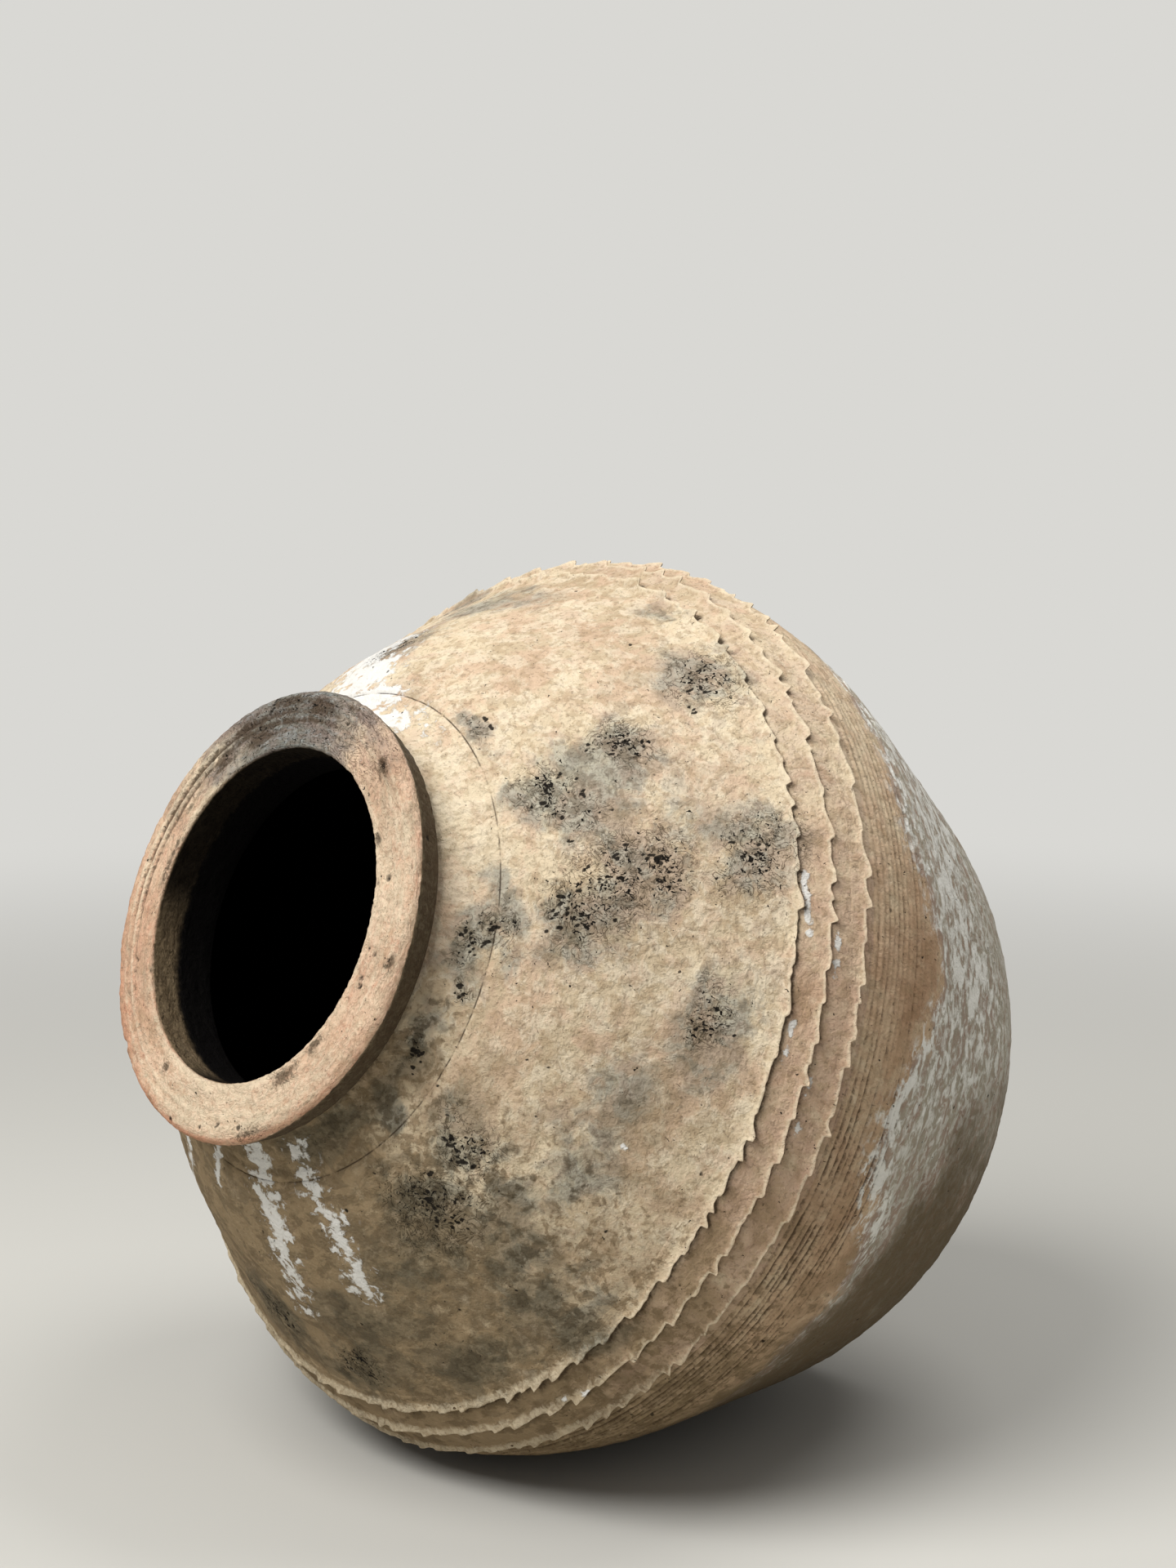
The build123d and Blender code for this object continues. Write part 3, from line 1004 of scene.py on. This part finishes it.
# Lifts from the foot up: node, name, step up the skin, and height of the seam above it
lifts = [
    ("foot_wall", "foot_lift", skin_step, cone_foot[1]),
    ("lower_wall", "lower_lift", skin_step, cone_top[1]),
    ("combed_wall", "combed_lift", comb_step, belt_foot_height),
    ("belt_wall", "belt_lift", comb_step, belt_top_height),
]
pieces = {"base_slab": slab_piece("turned_foot")}
foot, inner_foot = slab_edge_height, slab_thickness
for node, name, step, seam in lifts:
    top, inner_top = seam - half_seam_rise, seam + half_seam_rise
    pieces[node] = wall_piece(name, foot, top, step, inner_foot, inner_top)
    foot, inner_foot = top, inner_top
pieces["shoulder"] = wall_piece(
    "shoulder_lift", foot, neck_foot[1], skin_step, inner_foot, neck_seam_inner
)
pieces["neck"] = wall_piece(
    "thrown_neck", neck_foot[1], neck_waist[1], neck_step, neck_seam_inner, neck_waist[1]
)
pieces["rim_collar"] = collar_piece("turned_collar")
pieces.update({name: frill_piece(name) for name in frill_heights})


# Materials
def paint(code):
    """The linear colour of an sRGB hex code."""
    parts = [int(code[start : start + 2], 16) / 255 for start in (1, 3, 5)]
    return [
        part / 12.92 if part <= 0.04045 else ((part + 0.055) / 1.055) ** 2.4 for part in parts
    ] + [1]


def cleared(owner):
    """The node tree of a material or world, with nothing in it."""
    owner.use_nodes = True
    owner.node_tree.nodes.clear()
    return owner.node_tree


def add(tree, kind, sockets, **settings):
    """Adds a node, with its settings, and sets or links what goes into its sockets."""
    node = tree.nodes.new(kind)
    for setting, value in settings.items():
        setattr(node, setting, value)
    for socket, value in sockets.items():
        if isinstance(value, bpy.types.NodeSocket):
            tree.links.new(value, node.inputs[socket])
        else:
            node.inputs[socket].default_value = value
    return node


def worked(tree, operation, *values):
    return add(tree, "ShaderNodeMath", dict(enumerate(values)), operation=operation).outputs[0]


def brought(tree, value, low, high, least=0.0, most=1.0, way="LINEAR"):
    """A value between low and high, brought to between least and most."""
    sockets = {"Value": value, "From Min": low, "From Max": high, "To Min": least, "To Max": most}
    return add(tree, "ShaderNodeMapRange", sockets, interpolation_type=way).outputs[0]


# Spots in the clay and its coats: size in millimetres, detail, stretch and twist. The first two
# go right through the clay. The others lie round the jar, as it was thrown.
spot_kinds = {
    "cloud": (120, 5.0, (1.0, 1.0, 0.6), 0.0),
    "crumb": (4.2, 5.0, (1.0, 1.0, 1.0), 0.8),
    "haze": (46, 9.0, (1.0, 1.0, 0.8), 0.3),
    "blot": (17, 7.0, (1.0, 1.0, 0.8), 0.4),
    "streak": (13, 6.0, (0.6, 0.6, 1.0), 0.5),
    "flake": (6.5, 4.0, (0.75, 0.75, 1.0), 0.6),
    "fleck": (8.0, 5.0, (1.0, 1.0, 0.75), 0.3),
    "grit": (3.0, 2.0, (1.0, 1.0, 0.85), 0.0),
    "pore": (2.7, 1.0, (1.0, 1.0, 0.7), 0.9),
    "crinkle": (9.0, 2.0, (1.0, 1.0, 0.7), 1.4),
}
spot_roughness = 0.62
hairline_at = float(along_at(neck_foot[1]))
hairline_bounds, crack_bounds = (0.15, 0.75), (0.006, 0.03)
any_at_all = (0.02, 0.25)

# Colours of what lies on the clay
# The earth browns paint brown earth and shade on the underside and the collar's side
earth_and_shade_brown, earth_and_shade_dark, earth_and_shade_fleck, pale_earth = "#968467", "#68583f", "#65543c", "#a99372"
# The pale clay paints highlights on ridges, lip edges, the collar's inner edge and the neck, and
# pale patches on the collar
brown_fleck, dark_grit, pale_and_highlight_clay = "#a08869", "#6b5a46", "#e2d3b6"
stained_wash, thin_wash, flaked_wash, crust_white = "#9c897e", "#a8a592", "#d0cec3", "#e9e6dd"
lime_white, olive_grime, dark_olive = "#e2e0da", "#68583f", "#5f5039"
haze_grey, blot_grey, fleck_grey, crack_grey = "#e1e7ed", "#d8dde1", "#c2c3c5", "#96918a"
# The dark brown darkens grooves, hollows under the lips and the collar's shaded side: painted
# shade, with some dirt. The near black paints the shade inside the jar.
dirt_and_shade_brown, hairline_brown, burst_black, inside_shade_black = "#4a3b2c", "#3d3025", "#1d1915", "#080605"

# Coats by one mark, the lowest first: the mark, its spots, where its edge falls, how soft and how
# ragged that is, how much of it lies at most, and its colour
earth_shade_and_wash = [
    # Earth coats: brown earth and painted shade towards the underside
    ("earth_and_shade", "blot", 0.72, 0.24, 3.0, 0.5, earth_and_shade_dark),
    ("earth_and_shade", "fleck", 0.66, 0.16, 3.0, 0.5, earth_and_shade_fleck),
    ("earth_and_shade", "streak", 0.95, 0.14, 3.4, 0.4, pale_earth),
    # Pale clay: painted highlights, and pale patches
    ("crest", "crumb", 0.60, 0.4, 1.8, 0.52, pale_and_highlight_clay),
    ("wash", "haze", 0.36, 0.30, 2.6, 0.72, stained_wash),
    ("wash", "streak", 0.80, 0.44, 3.4, 0.66, thin_wash),
    ("wash", "flake", 0.95, 0.30, 3.6, 0.55, flaked_wash),
]
olive_coats = [
    ("olive", "haze", 0.46, 0.50, 2.4, 0.75, olive_grime),
    ("olive", "streak", 0.62, 0.40, 2.4, 0.6, dark_olive),
]
kiln_soot = [
    ("soot", "haze", 0.30, 0.24, 2.8, 0.95, haze_grey),
    ("soot", "blot", 0.52, 0.20, 3.2, 0.65, blot_grey),
    ("soot", "fleck", 0.85, 0.20, 3.2, 0.45, fleck_grey),
]


def earthenware(name, ground, clouds, bare, speckle, bump_mm):
    """Unglazed earthenware, thrown and coil-built, fired in a wood kiln and left outdoors.

    It is matt and mottled: sandy skin over brown clay, kiln soot with burst black pits, white lime
    in runs, a worn grey lime wash towards the foot, and brown earth on the underside. Shade is
    painted
    into its colour as well: near black inside the jar, darker in grooves, under the lips, on the
    underside and on the collar's shaded side; and pale painted highlights on ridges, lip edges and
    the neck.
    """
    material = bpy.data.materials.new(name)
    tree = cleared(material)

    def mark(label, socket="Fac"):
        return add(tree, "ShaderNodeAttribute", {}, attribute_name=label).outputs[socket]

    sleeve, upright = mark("sleeve", "Vector"), mark("upright", "Vector")
    spots = {}
    for kind, (size, detail, stretch, twist) in spot_kinds.items():
        at = {0: upright if kind in ("cloud", "crumb") else sleeve, 1: stretch}
        at = add(tree, "ShaderNodeVectorMath", at, operation="MULTIPLY").outputs[0]
        sockets = {"Vector": at, "Scale": 1 / size, "Detail": detail, "Distortion": twist}
        sockets["Roughness"] = spot_roughness
        spots[kind] = add(tree, "ShaderNodeTexNoise", sockets).outputs["Fac"]

    def near(share, most):
        """Up to most wherever there is any of the share."""
        return brought(tree, share, *any_at_all, most=most)

    def clings(share, kind, edge, soft, ragged=1.0, most=1.0):
        """Where a coat lies: its share, made ragged by spots, comes up to most across edge."""
        total = worked(tree, "MULTIPLY_ADD", spots[kind], ragged, share)
        middle = edge + ragged / 2
        return brought(tree, total, middle - soft, middle + soft, most=most, way="SMOOTHSTEP")

    def laid(label, kind, edge, soft, ragged, most):
        """Where a coat lies by one mark, and nowhere without it."""
        share = mark(label)
        return clings(share, kind, edge, soft, ragged, near(share, most))

    terracotta, crust, pitted = mark("terracotta"), mark("crust"), mark("pitted")
    along = add(tree, "ShaderNodeSeparateXYZ", {0: sleeve}).outputs["Z"]
    off_line = worked(tree, "ABSOLUTE", worked(tree, "SUBTRACT", along, hairline_at))
    hairline = brought(tree, off_line, *hairline_bounds, 1.0, 0.0)
    drawn = clings(0.0, "blot", -0.03, 0.08, most=0.9)
    hairline = worked(tree, "MULTIPLY", hairline, drawn)
    off_middle = worked(tree, "ABSOLUTE", worked(tree, "SUBTRACT", spots["crinkle"], 0.5))
    crack = brought(tree, off_middle, *crack_bounds, 1.0, 0.0)
    cracks = worked(tree, "MULTIPLY", crack, near(pitted, 0.8))
    pores = clings(pitted, "pore", 1.35, 0.12, 5.0)
    limed = laid("lime", "fleck", 0.52, 0.14, 3.0, 0.88)
    crusted = laid("crust", "streak", 0.88, 0.40, 3.8, 0.95)

    clay_and_coats = [
        (clings(0.0, "cloud", 0.02, 0.08, most=0.75), clouds[0]),
        (clings(0.0, "haze", 0.02, 0.06, most=0.7), clouds[1]),
        (clings(0.0, "blot", 0.02, 0.06, most=0.6), ground[1]),
        (clings(0.0, "streak", 0.07, 0.05, most=0.4), ground[2]),
        (clings(terracotta, "blot", 0.50, 0.60, 2.6, 0.85), bare[0]),
        (clings(terracotta, "haze", 0.95, 0.30, 2.8, 0.7), bare[1]),
        # Brown earth and painted shade
        (clings(mark("earth_and_shade"), "haze", 0.46, 0.44, 3.0, 0.78), earth_and_shade_brown),
        (clings(0.0, "fleck", 0.04, 0.05, most=0.45 * speckle), brown_fleck),
        (clings(0.0, "grit", 0.10, 0.05, most=0.34 * speckle), dark_grit),
        *[(laid(*how), tint) for *how, tint in earth_shade_and_wash],
        (clings(crusted, "flake", 0.26, 0.36, 2.6, near(crust, 0.97)), crust_white),
        *[(laid(*how), tint) for *how, tint in olive_coats],
    ]
    sooted = [(laid(*how), tint) for *how, tint in kiln_soot] + [(cracks, crack_grey)]
    on_top = [
        (limed, lime_white),
        # Painted shade in grooves, under the lips and on the collar's side, with some dirt
        (laid("dirt_and_shade", "crumb", 0.60, 0.35, 1.9, 0.8), dirt_and_shade_brown),
        (hairline, hairline_brown),
        (pores, burst_black),
        (clings(mark("burst"), "crumb", 0.42, 0.16, 0.8, 0.95), burst_black),
        # Painted shade inside the jar, near black
        (mark("inside_shade"), inside_shade_black),
    ]
    colour = paint(ground[0])
    for blend, layers in (("MIX", clay_and_coats), ("MULTIPLY", sooted), ("MIX", on_top)):
        for share, tint in layers:
            mixed = {0: share, 6: colour, 7: paint(tint)}
            mixed = add(tree, "ShaderNodeMix", mixed, data_type="RGBA", blend_type=blend)
            colour = mixed.outputs[2]

    relief = 0.0
    for height, weight in (
        (spots["fleck"], 1.5), (spots["grit"], 0.35), (spots["crumb"], 1.1), (spots["blot"], 2.4),
        (pores, -0.7), (cracks, -0.35), (limed, 0.35), (crusted, 0.4),
    ):
        relief = worked(tree, "MULTIPLY_ADD", height, weight, relief)
    sockets = {"Height": relief, "Strength": 1.0, "Distance": bump_mm * MM}
    bump = add(tree, "ShaderNodeBump", sockets).outputs["Normal"]
    chalky = brought(tree, spots["fleck"], 0.3, 0.7, 0.95, 0.78)
    sockets = {"Base Color": colour, "Roughness": chalky, "Normal": bump}
    sockets.update({"IOR": 1.5, "Specular IOR Level": 0.08})
    clay = add(tree, "ShaderNodeBsdfPrincipled", sockets)
    add(tree, "ShaderNodeOutputMaterial", {"Surface": clay.outputs[0]})
    return material


sandy = {"ground": ("#d3c1a3", "#e4d8be", "#c8aa8f"), "clouds": ("#b19c7f", "#cfb096")}
finishes = {
    "sand_clay": earthenware(
        "sand_slipped_earthenware", **sandy, bare=("#b3927a", "#a07c5e"), speckle=1.0, bump_mm=1.3
    ),
    "combed_clay": earthenware(
        "combed_earthenware", **sandy, bare=("#b79676", "#9c7658"), speckle=0.8, bump_mm=1.2
    ),
    "limewashed_clay": earthenware(
        "limewashed_earthenware", **sandy, bare=("#ab8a6c", "#90694c"), speckle=0.8, bump_mm=1.5
    ),
    "rim_clay": earthenware(
        "turned_terracotta", ground=("#d9bfa2", "#e6d3b8", "#cfa68a"),
        clouds=("#a8927a", "#cfa688"), bare=("#c58c6e", "#b37a5a"), speckle=0.55, bump_mm=1.3,
    ),
}
slot_of = {part["node"]: part["material_slot"] for part in frame["record"]["subparts"]}
for node, piece in pieces.items():
    piece.data.materials.append(finishes[slot_of[node]])
    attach(piece, "root")
    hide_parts(node)


# Floor, light and camera, in metres
floor_reach = 9.0
backdrop_start, backdrop_end = 0.8, 2.8
floor_colour, backdrop_colour = "#c6c4bd", "#d9d8d4"
fill_strength = 0.30


def pale_floor():
    """A matt pale floor that melts into the backdrop's own colour away from the jar."""
    corners = [(-floor_reach, -floor_reach, 0), (floor_reach, -floor_reach, 0),
               (floor_reach, floor_reach, 0), (-floor_reach, floor_reach, 0)]
    mesh = bpy.data.meshes.new("floor")
    mesh.from_pydata(corners, [], [(0, 1, 2, 3)])
    floor = linked("floor", mesh)
    material = bpy.data.materials.new("pale_floor")
    tree = cleared(material)
    place = add(tree, "ShaderNodeTexCoord", {}).outputs["Object"]
    far = add(tree, "ShaderNodeVectorMath", {0: place}, operation="LENGTH").outputs["Value"]
    fade = brought(tree, far, backdrop_start, backdrop_end, way="SMOOTHSTEP")
    matt = add(tree, "ShaderNodeBsdfDiffuse", {"Color": paint(floor_colour)}).outputs[0]
    glow = {"Color": paint(backdrop_colour), "Strength": 1.0}
    glow = add(tree, "ShaderNodeEmission", glow).outputs[0]
    seen = add(tree, "ShaderNodeLightPath", {}).outputs["Is Camera Ray"]
    share = worked(tree, "MULTIPLY", fade, seen)
    surface = add(tree, "ShaderNodeMixShader", {0: share, 1: matt, 2: glow}).outputs[0]
    add(tree, "ShaderNodeOutputMaterial", {"Surface": surface})
    mesh.materials.append(material)


def soft_world():
    """Even light from all round, with the backdrop's pale colour where the camera sees it."""
    world = bpy.data.worlds.new("studio")
    bpy.context.scene.world = world
    tree = cleared(world)
    seen = add(tree, "ShaderNodeLightPath", {}).outputs["Is Camera Ray"]
    fill, backdrop = (
        add(tree, "ShaderNodeBackground", {"Color": paint(code), "Strength": strength}).outputs[0]
        for code, strength in (("#ffffff", fill_strength), (backdrop_colour, 1.0))
    )
    surface = add(tree, "ShaderNodeMixShader", {0: seen, 1: fill, 2: backdrop}).outputs[0]
    add(tree, "ShaderNodeOutputWorld", {"Surface": surface})


def softbox(name, place, size, watts, aim):
    light = bpy.data.lights.new(name, "AREA")
    light.shape = "DISK"
    light.size = size
    light.energy = watts
    lamp = linked(name, light)
    lamp.location = place
    lamp.rotation_euler = (Vector(aim) - Vector(place)).to_track_quat("-Z", "Y").to_euler()


pale_floor()
soft_world()
softbox("key", place=(0.1, -1.95, 2.5), size=2.0, watts=97, aim=(0, 0, 0.3))
softbox("top", place=(0.5, 0.9, 2.6), size=1.6, watts=28, aim=(0, 0, 0.35))

camera_from_foot = (1.4746, -1.5823, 0.5320)
camera_pitch, camera_azimuth = 82.254, 48.03
camera_lens, camera_sensor = 65.334, 36
camera = linked("camera", bpy.data.cameras.new("camera"))
camera.data.lens = camera_lens
camera.data.sensor_width = camera_sensor
camera.location = foot_centre + camera_from_foot
camera.rotation_euler = (math.radians(camera_pitch), 0, math.radians(camera_azimuth))
bpy.context.scene.camera = camera
bpy.context.scene.view_settings.view_transform = "Standard"
